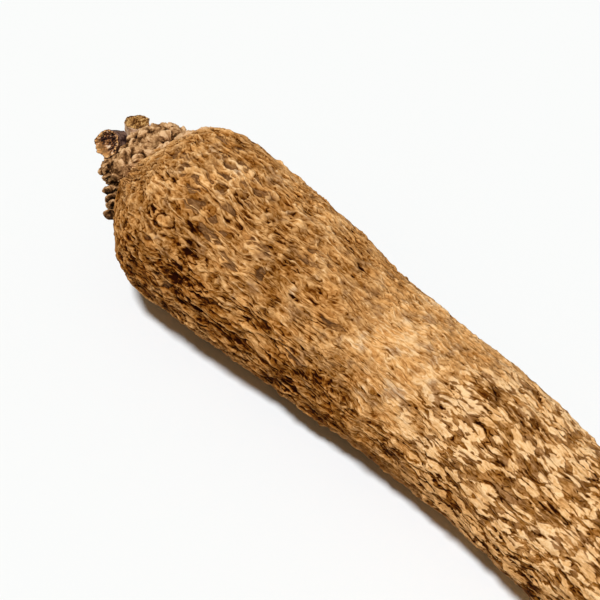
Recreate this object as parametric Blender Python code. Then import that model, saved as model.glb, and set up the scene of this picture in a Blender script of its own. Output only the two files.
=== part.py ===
"""Pona yam: a long tuber lying on its belly, with a woody crown and two dry vine stubs.

Run it with: blender --background --python part.py
Metres, +Z up. The tuber lies along X, its crown at -X, and rests on z = 0. The origin is under the
middle of its box. Lengths along the tuber, called x below, count from the pole of its head.
"""

import math
import random

import bmesh
import bpy
from mathutils import Matrix, Vector, noise

MM = 0.001
TURN = 2 * math.pi

# Where the pole of the head stands in the world, and the whole length from there to the tail's tip.
HEAD_POLE_X = -224.5 * MM
BODY_SHIFT_Y = 3.2 * MM
TUBER_LENGTH = 468 * MM

# Stations every 40 mm from the pole: the radius of the body and its swing to the side.
STATION_STEP = 40 * MM
RADII = [52.5, 52.5, 51.2, 48.4, 44.4, 42.8, 42.0, 40.6, 39.3, 38.4, 37.6, 36.9, 36.0, 35.0]
SWING = [-5.0, -5.0, -3.2, -0.9, 2.6, 4.2, 5.6, 6.0, 4.4, 3.6, 2.9, 2.0, 1.0, 0.0]

# The head is a blunt dome. Its pole lies above and beside the body's middle line, and its end leans
# up and to the side, so that the crown looks that way.
DOME_LENGTH = 68 * MM
DOME_BLUNT = 2.7
DOME_ROUND = 1 / 1.3
POLE_RISE = 4 * MM
POLE_SWING = -12 * MM
POLE_BEND = 4
LEAN_SIDE = -0.45
LEAN_UP = 0.5
LEAN_BEND = 1.5

# The tail ends in a rounder, slightly drooping tip.
TAIL_LENGTH = 52 * MM
TAIL_BLUNT = 2.3
TAIL_ROUND = 0.5
TAIL_DROOP = -5 * MM

# The belly is a little flat where the tuber lay: the body sinks this much of its radius.
BELLY_SINK = 0.02

# Bark. Its cells are long diamonds. On the head their borders stand up as a net of ridges round
# hollows, and towards the tail the cells stand up as plates between cracks. Larger than life.
BARK_SEED = 7
CELLS_AROUND = 26
CELLS_ALONG = 17
CELL_JITTER = 0.24
STEPS_IN_CELL = 8
POLE_ROWS = 0.2
BORDER_SHARE = (0.30, 0.46)
RELIEF_SPREAD = (0.5, 1.4)
WIDE_CELL = 8 * MM
HOLLOW_DEPTH = 1.8 * MM
PLATE_HEIGHT = 1.5 * MM
NET_ENDS = 110 * MM
PLATES_START = 230 * MM
BELLY_PLAIN = 3.5 * MM

# Low lumps of the whole body. They rise away from its middle line, which is taken to start inside the
# dome, and fade where the body is narrow.
LUMP_HEIGHT = 1.6 * MM
LUMP_SIZE = 45 * MM
LUMP_LINE_START = 0.3 * DOME_LENGTH
LUMP_NARROW = 10 * MM

# The crown: a long low mound over the pole, covered with knobs. Places are in millimetres from the
# head's pole: along x, to the side, and up from the floor.
CROWN_CENTRE = (1.5, -3.5, 64)
CROWN_LONG = (20, 27, 20)
CROWN_OUT = (-0.67, -0.07, 0.74)
CROWN_SIZE = (15.5 * MM, 24 * MM, 10.5 * MM)
MOUND_DETAIL = 2
MOUND_ROUGH = 0.05
CROWN_SEED = 12
KNOB_COUNT = 44
KNOB_SMALL = 2.2 * MM
KNOB_LARGE = 4.8 * MM
KNOB_DETAIL = 1
KNOB_ROUGH = 0.2
KNOB_STRETCH = 1.3
KNOB_REACH = 1.25
GOLDEN_ANGLE = math.pi * (3 - math.sqrt(5))

# The string of wart collars runs from the crown's lip down over the shoulder. Each collar has a
# radius and half a thickness, in millimetres.
COLLAR_PATH = [(-5, -19, 58), (-1, -22, 55), (4.5, -27, 51.5), (9, -30, 49), (15, -36, 46.5)]
COLLARS = [(7.0, 2.8), (6.6, 2.6), (5.4, 2.6), (7.0, 3.2), (6.0, 2.6), (5.2, 2.8), (5.8, 2.0)]
COLLAR_TILT = 0.30
COLLAR_ROUGH = 0.12
COLLAR_SIDES = 12
COLLAR_ROWS = 4

# Dry vine stubs: the middle of each torn end, the way it points, how far it stands out, and the
# radii of its stem and of the plain root in its socket.
SOCKET_GAP = 0.35 * MM
SOCKET_DEPTH = 4 * MM
SOCKET_REACH = 3
NECK_BELOW = 0.5 * MM
NECK_ABOVE = 0.8 * MM
LARGE_TIP = (-11.4, -18.4, 72)
LARGE_WAY = (-0.10, -0.88, 0.46)
LARGE_OUT = 8 * MM
LARGE_RADIUS = 7.4 * MM
SMALL_TIP = (-12, 3.4, 74.2)
SMALL_WAY = (-0.15, 0.11, 0.98)
SMALL_OUT = 8 * MM
SMALL_RADIUS = 6.6 * MM
ROOT_SHARE = 0.62
STUB_SEED = 5
STUB_SIDES = 24
STUB_RINGS = 4
STUB_RIBS = 7
STUB_RIB = 0.06
STUB_ROUGH = 0.16
STUB_GRAIN = 3 * MM
STUB_WIDEST = 1.14
STUB_CLEARANCE = 1.16
STUB_RIMS = (0.2, 0.35)
STUB_TORN = 0.16
STUB_HOLLOW = 0.35

BARK_COLOUR = (0.474, 0.242, 0.085)
VINE_COLOUR = (0.205, 0.112, 0.053)
WOOD_ROUGHNESS = 0.85


def material(name, colour, roughness):
    """A plain Principled material."""
    made = bpy.data.materials.new(name)
    made.use_nodes = True
    shader = made.node_tree.nodes["Principled BSDF"]
    shader.inputs["Base Color"].default_value = (*colour, 1)
    shader.inputs["Roughness"].default_value = roughness
    shader.inputs["Metallic"].default_value = 0
    return made


def collection(name):
    """A new collection in the scene."""
    made = bpy.data.collections.new(name)
    bpy.context.scene.collection.children.link(made)
    return made


def new_object(name, bm, home, finish=None):
    """Turn a bmesh into an object in the collection called home."""
    mesh = bpy.data.meshes.new(name)
    bm.to_mesh(mesh)
    bm.free()
    made = bpy.data.objects.new(name, mesh)
    home.objects.link(made)
    if finish:
        mesh.materials.append(finish)
    return made


def settle(target):
    """Give an object the mesh that its modifiers make, and drop them."""
    depsgraph = bpy.context.evaluated_depsgraph_get()
    done = bpy.data.meshes.new_from_object(target.evaluated_get(depsgraph))
    target.modifiers.clear()
    old = target.data
    done.name = target.name
    target.data = done
    bpy.data.meshes.remove(old)


def keep_outer_skin(target):
    """Fill the hollows that fusing sealed and drop loose scraps: only the largest surface stays."""
    bm = bmesh.new()
    bm.from_mesh(target.data)
    loose = set(bm.faces)
    skins = []
    while loose:
        skin = [loose.pop()]
        for face in skin:
            for edge in face.edges:
                for other in edge.link_faces:
                    if other in loose:
                        loose.remove(other)
                        skin.append(other)
        skins.append(skin)
    skins.sort(key=len)
    for skin in skins[:-1]:
        bmesh.ops.delete(bm, geom=skin, context="FACES")
    bm.to_mesh(target.data)
    bm.free()


def smooth_step(low, high, value):
    """0 below low, 1 above high, and a soft S between."""
    t = min(max((value - low) / (high - low), 0), 1)
    return t * t * (3 - 2 * t)


def between_stations(values, x):
    """Read a station list at x, on a smooth curve through its values (Catmull-Rom)."""
    last = len(values) - 1
    place = min(max(x / STATION_STEP, 0), last)
    i = min(int(place), last - 1)
    t = place - i
    a, b, c, d = (values[min(max(k, 0), last)] for k in range(i - 1, i + 3))
    return b + 0.5 * t * (c - a + t * (2 * a - 5 * b + 4 * c - d + t * (3 * (b - c) + d - a)))


def world(x, y, z):
    """A place given in millimetres from the head's pole, in the world's metres."""
    return Vector((HEAD_POLE_X + x * MM, BODY_SHIFT_Y + y * MM, z * MM))


def body_section(x):
    """Centre and radius of the round section at x."""
    full = between_stations(RADII, x) * MM
    head = max(1 - x / DOME_LENGTH, 0)
    tail = min(max((x - TUBER_LENGTH + TAIL_LENGTH) / TAIL_LENGTH, 0), 1)
    radius = full * (1 - head ** DOME_BLUNT) ** DOME_ROUND * (1 - tail ** TAIL_BLUNT) ** TAIL_ROUND
    side = between_stations(SWING, x) * MM + POLE_SWING * head ** POLE_BEND
    height = full * (1 - BELLY_SINK) + POLE_RISE * head ** POLE_BEND + TAIL_DROOP * tail ** 2
    return Vector((HEAD_POLE_X + x, BODY_SHIFT_Y + side, height)), radius


def outward(place, x):
    """The way out of the body at a place near x, straight away from its middle line."""
    x = min(max(x, LUMP_LINE_START), TUBER_LENGTH)
    return (place - body_section(x)[0]).normalized()


def skin_point(x, angle):
    """A point of the smooth body at x, at an angle round it from +Y towards +Z."""
    centre, radius = body_section(x)
    out = Vector((0, math.cos(angle), math.sin(angle)))
    lean = radius * max(1 - x / DOME_LENGTH, 0) ** LEAN_BEND
    centre.x += lean * (LEAN_SIDE * out.y + LEAN_UP * out.z)
    place = centre + radius * out
    rise = min(radius / LUMP_NARROW, 1) * noise.noise(place / LUMP_SIZE) * LUMP_HEIGHT
    return place + outward(place, x) * rise


def even_places(count, fine=2000):
    """x of count + 1 rings, evenly spaced along the skin from the pole to the tail's tip."""
    xs = [TUBER_LENGTH * (1 - math.cos(math.pi * k / fine)) / 2 for k in range(fine + 1)]
    radii = [body_section(x)[1] for x in xs]
    walked = [0.0]
    for k in range(fine):
        walked.append(walked[-1] + math.hypot(xs[k + 1] - xs[k], radii[k + 1] - radii[k]))
    places = []
    k = 0
    for ring in range(count + 1):
        goal = walked[-1] * ring / count
        while k < fine - 1 and walked[k + 1] < goal:
            k += 1
        share = (goal - walked[k]) / (walked[k + 1] - walked[k])
        places.append(xs[k] + share * (xs[k + 1] - xs[k]))
    return places


def in_order(items, place_of):
    """Mesh pieces sorted by their places, so that random draws reach the same ones each run."""
    return sorted(items, key=lambda item: [round(part, 6) for part in place_of(item)])


def diamond_sphere():
    """A unit sphere covered with long diamonds: one for each edge of its grid."""
    bm = bmesh.new()
    bmesh.ops.create_uvsphere(bm, u_segments=CELLS_AROUND, v_segments=CELLS_ALONG, radius=1)
    grid = in_order(bm.edges, lambda edge: edge.verts[0].co + edge.verts[1].co)
    bmesh.ops.poke(bm, faces=bm.faces)
    for edge in grid:
        bmesh.utils.face_join(edge.link_faces)
    for vert in bm.verts:
        vert.co.normalize()
    return bm


def ring_of(vert):
    """How far a point of the unit sphere is from its first pole, in rows of cells."""
    return CELLS_ALONG * math.acos(max(-1, min(1, vert.co.z))) / math.pi


def make_body(home, finish, draw):
    """The tuber's own body: the sphere's diamonds drawn out along the sections, then raised."""
    bm = diamond_sphere()
    places = even_places(CELLS_ALONG * STEPS_IN_CELL)
    cell_angle = TURN / CELLS_AROUND
    for vert in in_order(bm.verts, lambda vert: vert.co):
        row = ring_of(vert)
        angle = math.atan2(vert.co.y, vert.co.x)
        if POLE_ROWS < row < CELLS_ALONG - POLE_ROWS:
            row += draw.uniform(-CELL_JITTER, CELL_JITTER)
            angle += draw.uniform(-CELL_JITTER, CELL_JITTER) * cell_angle
        x = places[round(min(max(row, 0), CELLS_ALONG) * STEPS_IN_CELL)]
        vert.co = skin_point(x, angle)
    bmesh.ops.recalc_face_normals(bm, faces=bm.faces)
    cells = in_order(bm.faces, lambda face: face.calc_center_median())
    cells = [face for face in cells if face.calc_center_median().z > BELLY_PLAIN]
    bmesh.ops.inset_individual(bm, faces=cells, thickness=0)
    for cell in cells:
        corners = in_order(cell.verts, lambda vert: vert.co)
        middle = sum((vert.co for vert in corners), Vector()) / len(corners)
        x = middle.x - HEAD_POLE_X
        width = body_section(min(max(x, 0), TUBER_LENGTH))[1] * cell_angle
        relief = draw.uniform(*RELIEF_SPREAD) * min(width / WIDE_CELL, 1)
        stands_up = draw.random() < smooth_step(NET_ENDS, PLATES_START, x)
        relief *= PLATE_HEIGHT if stands_up else -HOLLOW_DEPTH
        border = draw.uniform(*BORDER_SHARE)
        for vert in corners:
            vert.co = vert.co.lerp(middle, border) + outward(middle, x) * relief
    for vert in bm.verts:
        vert.co.z = max(vert.co.z, 0)
    return new_object("tuber", bm, home, finish)


def lump_shape(centre, size, turn, detail, rough, draw):
    """A lump of woody tissue: a ball drawn to a size, turned, and made uneven."""
    bm = bmesh.new()
    bmesh.ops.create_icosphere(bm, subdivisions=detail, radius=1)
    for vert in bm.verts:
        vert.co *= 1 + draw.uniform(-rough, rough)
        vert.co = centre + turn @ Vector([part * wide for part, wide in zip(vert.co, size)])
    return bm


def collar_shape(centre, radius, thick, turn, draw):
    """A wart collar: a flat, uneven disc with a rounded rim."""
    bm = bmesh.new()
    bmesh.ops.create_uvsphere(bm, u_segments=COLLAR_SIDES, v_segments=COLLAR_ROWS, radius=1)
    for vert in bm.verts:
        wide = radius * (1 + draw.uniform(-COLLAR_ROUGH, COLLAR_ROUGH))
        vert.co = centre + turn @ Vector((vert.co.x * wide, vert.co.y * wide, vert.co.z * thick))
    return bm


def facing(direction):
    """The turn that takes +Z to a direction."""
    return direction.to_track_quat("Z", "Y").to_matrix()


def add_crown(body, draw):
    """Grow the crown on the head: a mound, its knobs and the string of collars, in one union."""
    grown = collection("crown_pieces")
    centre = world(*CROWN_CENTRE)
    out = Vector(CROWN_OUT).normalized()
    across = Vector(CROWN_LONG).cross(out).normalized()
    turn = Matrix((across, out.cross(across), out)).transposed()
    new_object("mound", lump_shape(centre, CROWN_SIZE, turn, MOUND_DETAIL, MOUND_ROUGH, draw), grown)
    for k in range(KNOB_COUNT):
        tilt = math.acos(1 - KNOB_REACH * (k + 0.5) / KNOB_COUNT)
        spin = k * GOLDEN_ANGLE
        way = Vector((math.sin(tilt) * math.cos(spin), math.sin(tilt) * math.sin(spin), math.cos(tilt)))
        spot = centre + turn @ Vector([part * size for part, size in zip(way, CROWN_SIZE)])
        knob = draw.uniform(KNOB_SMALL, KNOB_LARGE)
        size = (knob, KNOB_STRETCH * knob, knob)
        new_object("knob", lump_shape(spot, size, facing(turn @ way), KNOB_DETAIL, KNOB_ROUGH, draw), grown)
    path = [world(*point) for point in COLLAR_PATH]
    for k, (radius, thick) in enumerate(COLLARS):
        place = (len(path) - 1) * k / (len(COLLARS) - 1)
        i = min(int(place), len(path) - 2)
        spot = path[i].lerp(path[i + 1], place - i)
        tilt = Vector([draw.uniform(-COLLAR_TILT, COLLAR_TILT) for _ in range(3)])
        turned = facing((path[i + 1] - path[i]).normalized() + tilt)
        new_object("collar", collar_shape(spot, radius * MM, thick * MM, turned, draw), grown)
    union = body.modifiers.new("crown", "BOOLEAN")
    union.operation = "UNION"
    union.operand_type = "COLLECTION"
    union.collection = grown
    union.solver = "EXACT"
    settle(body)
    for piece in list(grown.objects):
        bpy.data.objects.remove(piece, do_unlink=True)
    bpy.data.collections.remove(grown)


def stub_line(tip, way, stands_out):
    """Where a stub stands: the foot of its socket, its way out, and its length from there."""
    out = Vector(way).normalized()
    length = stands_out + SOCKET_DEPTH
    return world(*tip) - out * length, out, length


def make_stub(name, tip, way, stands_out, radius, home, finish, draw):
    """A dry vine end: a ribbed stem with a torn, hollowed end, on a plain root in its socket."""
    foot, out, length = stub_line(tip, way, stands_out)
    turn = facing(out)
    bm = bmesh.new()
    bmesh.ops.create_cone(bm, cap_ends=True, segments=STUB_SIDES, radius1=1, radius2=1, depth=1)
    sides = [edge for edge in bm.edges if abs(edge.verts[0].co.z - edge.verts[1].co.z) > 0.5]
    face = next(face for face in bm.faces if face.normal.z > 0.5)
    bmesh.ops.subdivide_edges(bm, edges=sides, cuts=STUB_RINGS)
    for thickness in STUB_RIMS:
        bmesh.ops.inset_region(bm, faces=[face], thickness=thickness)
    bmesh.ops.poke(bm, faces=[face])
    levels = [0, SOCKET_DEPTH - NECK_BELOW, SOCKET_DEPTH + NECK_ABOVE]
    above = STUB_RINGS + 2 - len(levels)
    levels += [levels[-1] + (length - levels[-1]) * (k + 1) / above for k in range(above)]
    for vert in bm.verts:
        level = round((vert.co.z + 0.5) * (STUB_RINGS + 1))
        up = levels[level]
        flat = Vector((vert.co.x, vert.co.y, 0))
        angle = math.atan2(flat.y, flat.x)
        wide = ROOT_SHARE
        if level >= 2:
            grain = Vector((up / STUB_GRAIN, 2 * math.cos(angle), 2 * math.sin(angle) + radius / MM))
            wide = 1 + STUB_RIB * math.cos(STUB_RIBS * angle) + STUB_ROUGH * noise.noise(grain)
            wide = min(wide, STUB_WIDEST)
        torn = 0
        if level == STUB_RINGS + 1:
            torn = radius * (draw.uniform(-STUB_TORN, STUB_TORN) - STUB_HOLLOW * (1 - min(flat.length, 1)))
        vert.co = foot + turn @ (flat * radius * wide + Vector((0, 0, up + torn)))
    return new_object(name, bm, home, finish)


def cut_socket(body, tip, way, stands_out, radius, cutters):
    """Cut the plain hole that a stub stands in, and clear the knobs from round its stem."""
    foot, out, length = stub_line(tip, way, stands_out)
    seat = SOCKET_DEPTH - NECK_BELOW - SOCKET_GAP
    spare = SOCKET_GAP / math.cos(math.pi / STUB_SIDES)
    root_hole = (-SOCKET_GAP, length, ROOT_SHARE * radius)
    clear_way = (seat, SOCKET_REACH * length, STUB_CLEARANCE * radius)
    for low, high, wide in (root_hole, clear_way):
        bm = bmesh.new()
        bmesh.ops.create_cone(bm, cap_ends=True, segments=STUB_SIDES, radius1=1, radius2=1, depth=1)
        for vert in bm.verts:
            up = low + (vert.co.z + 0.5) * (high - low)
            flat = Vector((vert.co.x, vert.co.y, 0)) * (wide + spare)
            vert.co = foot + facing(out) @ (flat + Vector((0, 0, up)))
        cutter = new_object("socket", bm, cutters)
        cutter.hide_render = True
        cutter.display_type = "WIRE"
        hole = body.modifiers.new("socket", "BOOLEAN")
        hole.operation = "DIFFERENCE"
        hole.object = cutter
        hole.solver = "EXACT"
        settle(body)


bpy.context.scene.unit_settings.system = "METRIC"
for old in list(bpy.data.objects):
    bpy.data.objects.remove(old, do_unlink=True)

PARTS = collection("pona_yam")
CUTTERS = collection("cutters")
bark = material("bark", BARK_COLOUR, WOOD_ROUGHNESS)
vine = material("vine", VINE_COLOUR, WOOD_ROUGHNESS)

tuber = make_body(PARTS, bark, random.Random(BARK_SEED))
add_crown(tuber, random.Random(CROWN_SEED))
keep_outer_skin(tuber)
for name, tip, way, stands_out, radius in (
    ("vine_stub_large", LARGE_TIP, LARGE_WAY, LARGE_OUT, LARGE_RADIUS),
    ("vine_stub_small", SMALL_TIP, SMALL_WAY, SMALL_OUT, SMALL_RADIUS),
):
    cut_socket(tuber, tip, way, stands_out, radius, CUTTERS)
    keep_outer_skin(tuber)
    make_stub(name, tip, way, stands_out, radius, PARTS, vine, random.Random(STUB_SEED))
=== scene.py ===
# %% [markdown]
# # A pona yam
#
# A pona yam is a storage root: a long cylinder of flesh under a thin coat of dry cork bark. On its
# swollen head the cork stands up as a net of worm-like ridges, along its middle it is fibrous, and
# towards the tail it breaks into pale plates. A knobby woody crown sits on the head, with the dry
# ends of two vines in it.
#
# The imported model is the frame: it says where everything is and how large it is. The pieces below
# stand for its nodes, and keep their form.

import math
import random

import bmesh
import bpy
import numpy as np
from mathutils import Matrix, Vector, noise

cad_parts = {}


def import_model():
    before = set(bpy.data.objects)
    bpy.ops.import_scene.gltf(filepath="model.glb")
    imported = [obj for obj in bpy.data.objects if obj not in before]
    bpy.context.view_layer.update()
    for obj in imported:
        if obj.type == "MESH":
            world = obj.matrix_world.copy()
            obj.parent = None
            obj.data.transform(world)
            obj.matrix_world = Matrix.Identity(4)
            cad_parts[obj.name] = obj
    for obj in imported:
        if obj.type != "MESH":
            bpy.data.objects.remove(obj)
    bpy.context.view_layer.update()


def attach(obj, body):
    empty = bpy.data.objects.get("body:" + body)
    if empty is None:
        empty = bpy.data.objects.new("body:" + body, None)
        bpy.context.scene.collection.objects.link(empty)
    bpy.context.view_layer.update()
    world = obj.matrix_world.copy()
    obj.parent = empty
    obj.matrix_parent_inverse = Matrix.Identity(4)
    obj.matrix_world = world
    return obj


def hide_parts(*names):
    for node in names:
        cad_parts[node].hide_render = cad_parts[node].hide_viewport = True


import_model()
MM = 0.001

# %% [markdown]
# ## Two helpers for nodes
#
# Both a material and a Geometry Nodes tree are made of nodes, so one function adds a node to either.
# It takes the node's kind, which for a shader node goes without its prefix and may end with its
# operation, what goes into its inputs (sockets or plain values) and its settings. It gives back the
# output that the next node needs. A second one turns a hex colour, as a paint program shows it, into
# the linear numbers that a renderer adds up.

# %% Helpers for nodes and colours
SMOOTH = {"interpolation_type": "SMOOTHSTEP"}
# A Mix node for colours reads its share at input 0 and its colours at 6 and 7, and gives output 2.
MIX = {"out": 2, "data_type": "RGBA"}


def add(tree, kind, inputs=(), out=0, **settings):
    """Add a node: its kind and operation, its inputs by name or number, its settings and its output."""
    kind, *operation = kind.split()
    node = tree.nodes.new(kind if "Node" in kind else "ShaderNode" + kind)
    for name, value in [*zip(["operation"], operation), *settings.items()]:
        setattr(node, name, value)
    for name, value in inputs.items() if isinstance(inputs, dict) else enumerate(inputs):
        if isinstance(value, bpy.types.NodeSocket):
            tree.links.new(value, node.inputs[name])
        elif value is not None:
            node.inputs[name].default_value = value
    return node if out is None else node.outputs[out]


def linear(hex_colour):
    """The linear RGBA of an sRGB hex colour."""
    parts = [int(hex_colour[k:k + 2], 16) / 255 for k in (0, 2, 4)]
    return (*[p / 12.92 if p <= 0.04045 else ((p + 0.055) / 1.055) ** 2.4 for p in parts], 1)


# %% [markdown]
# ## The body under the bark
#
# The body is a row of round sections: a radius and a swing to the side every 40 mm, with a curve
# drawn through them. The head is a blunt dome whose end leans up and to the side, so that the crown
# looks that way, and the tail ends in a rounder, drooping tip. It could be sculpted, or turned as a
# profile, but a turned shape has no swing or lean. Sections worked out by a formula give both, and
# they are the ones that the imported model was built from, so the two agree.

# %% The body's sections
HEAD_POLE_X = -224.5
BODY_SHIFT_Y = 3.2
TUBER_LENGTH = 468
STATION_STEP = 40
RADII = np.array([52.5, 52.5, 51.2, 48.4, 44.4, 42.8, 42.0, 40.6, 39.3, 38.4, 37.6, 36.9, 36.0, 35.0])
SWING = np.array([-5.0, -5.0, -3.2, -0.9, 2.6, 4.2, 5.6, 6.0, 4.4, 3.6, 2.9, 2.0, 1.0, 0.0])
DOME_LENGTH = 68
DOME_BLUNT = 2.7
DOME_ROUND = 1 / 1.3
POLE_RISE = 4
POLE_SWING = -12
POLE_BEND = 4
LEAN_SIDE = -0.45
LEAN_UP = 0.5
LEAN_BEND = 1.5
TAIL_LENGTH = 52
TAIL_BLUNT = 2.3
TAIL_ROUND = 0.5
TAIL_DROOP = -5
BELLY_SINK = 0.02
LUMP_HEIGHT = 1.6
LUMP_SIZE = 45
LUMP_LINE_START = 0.3 * DOME_LENGTH
LUMP_NARROW = 10


def between_stations(values, x):
    """Read a station list at x, on a smooth curve through its values."""
    last = len(values) - 1
    place = np.clip(x / STATION_STEP, 0, last)
    i = np.minimum(place.astype(int), last - 1)
    t = place - i
    a, b, c, d = (values[np.clip(i + k, 0, last)] for k in (-1, 0, 1, 2))
    return b + 0.5 * t * (c - a + t * (2 * a - 5 * b + 4 * c - d + t * (3 * (b - c) + d - a)))


def body_section(x):
    """Centre and radius of the sections at x, in millimetres from the head's pole."""
    full = between_stations(RADII, x)
    head = np.maximum(1 - x / DOME_LENGTH, 0)
    tail = np.clip((x - TUBER_LENGTH + TAIL_LENGTH) / TAIL_LENGTH, 0, 1)
    radius = full * (1 - head ** DOME_BLUNT) ** DOME_ROUND * (1 - tail ** TAIL_BLUNT) ** TAIL_ROUND
    side = between_stations(SWING, x) + POLE_SWING * head ** POLE_BEND
    height = full * (1 - BELLY_SINK) + POLE_RISE * head ** POLE_BEND + TAIL_DROOP * tail ** 2
    return np.stack([HEAD_POLE_X + x, BODY_SHIFT_Y + side, height], -1), radius


def skin_points(x, angle):
    """Points of the smooth body at x, at an angle round it from +Y towards +Z, in millimetres."""
    centre, radius = body_section(x)
    out = np.stack([np.zeros_like(x), np.cos(angle), np.sin(angle)], -1)
    lean = radius * np.maximum(1 - x / DOME_LENGTH, 0) ** LEAN_BEND
    centre[..., 0] += lean * (LEAN_SIDE * out[..., 1] + LEAN_UP * out[..., 2])
    place = centre + radius[..., None] * out
    way = place - body_section(np.maximum(x, LUMP_LINE_START))[0]
    way /= np.linalg.norm(way, axis=-1, keepdims=True)
    flat = (place / LUMP_SIZE).reshape(-1, 3)
    lumps = np.array([noise.noise(point) for point in flat.tolist()]).reshape(x.shape)
    rise = np.minimum(radius / LUMP_NARROW, 1) * lumps * LUMP_HEIGHT
    return place + way * rise[..., None]


# %% [markdown]
# ## A fine grid over the body
#
# Bark needs a dense skin: its ridges are 1 to 2 mm wide. Rings of points stand 0.6 mm apart along the
# skin, evenly by length walked and not by x, or the dome would get too few. Each point also keeps its
# place on an unrolled log: how far it is along the skin, and where it is round a plain cylinder. That
# is its grain. A pattern drawn on the grain runs along the tuber, bends over the dome with the skin
# and closes on itself with no seam, which a UV map can't do.

# %% The grid and its grain
RINGS = 880
SIDES = 600
GRAIN_RADIUS = 45
PATH_STEPS = 4000


def walked_rings(count):
    """The x of evenly walked rings, and how far each is along the skin, equal to x past the dome."""
    x = TUBER_LENGTH * (1 - np.cos(np.linspace(0, math.pi, PATH_STEPS))) / 2
    radius = body_section(x)[1]
    walked = np.concatenate([[0], np.cumsum(np.hypot(np.diff(x), np.diff(radius)))])
    walked -= np.interp(DOME_LENGTH, x, walked) - DOME_LENGTH
    goal = np.linspace(walked[0], walked[-1], count + 2)[1:-1]
    return np.interp(goal, walked, x), goal


def tube_object(name, rings, first_end, last_end, grain):
    """A closed tube through rings of points, given in millimetres, with its grain on each point."""
    count, sides = rings.shape[:2]
    points = np.vstack([rings.reshape(-1, 3), [first_end], [last_end]]) * MM
    i, j = (part.ravel() for part in np.meshgrid(np.arange(count - 1), np.arange(sides), indexing="ij"))
    next_j = (j + 1) % sides
    quads = np.stack([i * sides + j, i * sides + next_j, (i + 1) * sides + next_j, (i + 1) * sides + j], -1)
    k = np.arange(sides)
    next_k = (k + 1) % sides
    first, last = count * sides, count * sides + 1
    low = (count - 1) * sides
    fans = np.vstack([
        np.stack([np.full(sides, first), next_k, k], -1),
        np.stack([np.full(sides, last), low + k, low + next_k], -1),
    ])
    loops = np.concatenate([quads.ravel(), fans.ravel()])
    starts = np.concatenate([np.arange(len(quads)) * 4, len(quads) * 4 + np.arange(len(fans)) * 3])
    mesh = bpy.data.meshes.new(name)
    mesh.vertices.add(len(points))
    mesh.vertices.foreach_set("co", points.astype(np.float32).ravel())
    mesh.loops.add(len(loops))
    mesh.loops.foreach_set("vertex_index", loops.astype(np.int32))
    mesh.polygons.add(len(starts))
    mesh.polygons.foreach_set("loop_start", starts.astype(np.int32))
    mesh.update(calc_edges=True)
    kept = mesh.attributes.new("grain", "FLOAT_VECTOR", "POINT")
    kept.data.foreach_set("vector", grain.astype(np.float32).ravel())
    mesh.shade_smooth()
    made = bpy.data.objects.new(name, mesh)
    bpy.context.collection.objects.link(made)
    return made


ring_x, ring_walked = walked_rings(RINGS)
ring_angle = np.arange(SIDES) * 2 * math.pi / SIDES
grid_x, grid_angle = np.meshgrid(ring_x, ring_angle, indexing="ij")
grid_walked = np.repeat(ring_walked[:, None], SIDES, 1)
body_points = skin_points(grid_x, grid_angle)
end_points = [body_section(np.array([float(x)]))[0][0] for x in (0, TUBER_LENGTH)]
grain = np.stack([grid_walked, GRAIN_RADIUS * np.cos(grid_angle), GRAIN_RADIUS * np.sin(grid_angle)], -1)
grain_ends = [(ring_walked[0], 0, 0), (ring_walked[-1], 0, 0)]
skin = tube_object("bark_skin", body_points, *end_points, np.vstack([grain.reshape(-1, 3), grain_ends]))
print("grid", len(skin.data.polygons), "faces, rings", round(ring_walked[1] - ring_walked[0], 2), "mm apart")

# %% [markdown]
# ## Worn and stained places
#
# A yam that was dug up and carried has grey-brown places, where a patch of cork came off, dark brown
# stains, and pale rubbed places. The dark patches along the low side are partly stains and partly
# painted shade. Those on the side that is seen are listed one by one, and the rest are strewn at
# random over the side that lies away. Each is a soft oval on the skin, given by its place along the
# tuber, its angle and its size. They are wide and soft, so one number on each point is enough, and
# the pattern below gives them their ragged edges.

# %% Masks on the skin
BARE_PLACES = [
    (76, 107, 7, 5), (82, 82, 9, 4), (42, 100, 7, 4), (61, 105, 5, 4), (100, 122, 5, 4), (125, 115, 7, 3),
    (96, 106, 5, 3), (90, 84, 7, 3), (150, 92, 6, 3),
]
# Dark patches: partly stains, and along the low side partly painted shade.
STAINS_AND_SHADE = [
    (100, 163, 13, 8), (95, 146, 7, 4), (93, 162, 8, 4), (102, 168, 7, 4), (88, 130, 6, 2), (70, 178, 6, 3),
    (148, 154, 8, 3), (168, 155, 8, 4), (186, 144, 6, 3), (184, 166, 9, 4), (194, 160, 8, 4),
    (134, 180, 9, 3),
    (176, 182, 9, 4), (212, 163, 11, 5), (236, 167, 10, 5), (222, 146, 7, 3), (250, 173, 18, 5),
    (278, 92, 15, 5), (248, 128, 7, 4), (313, 113, 10, 4), (304, 138, 7, 3), (336, 122, 6, 3),
    (298, 86, 9, 4),
]
PALE_PLACES = [(80, 84, 12, 4), (242, 110, 8, 4), (66, 120, 8, 4), (232, 132, 8, 4), (206, 118, 9, 4)]
STREWN_SEED = 11
STREWN_COUNT = 16
FAR_SIDE = {"along": (40, 440), "angle": (190, 400), "long": (6, 20), "wide": (4, 7)}


def soft_ovals(places):
    """1 in the middle of each oval (along, angle, long, wide), and 0 at twice its size."""
    mask = np.zeros(grid_x.shape)
    for x, angle, long, wide in places:
        turn = (grid_angle - math.radians(angle) + math.pi) % (2 * math.pi) - math.pi
        away = np.hypot((grid_walked - x) / long, turn * GRAIN_RADIUS / wide)
        mask = np.maximum(mask, np.clip(1 - away / 2, 0, 1))
    return np.concatenate([mask.ravel(), [0, 0]])


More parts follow.
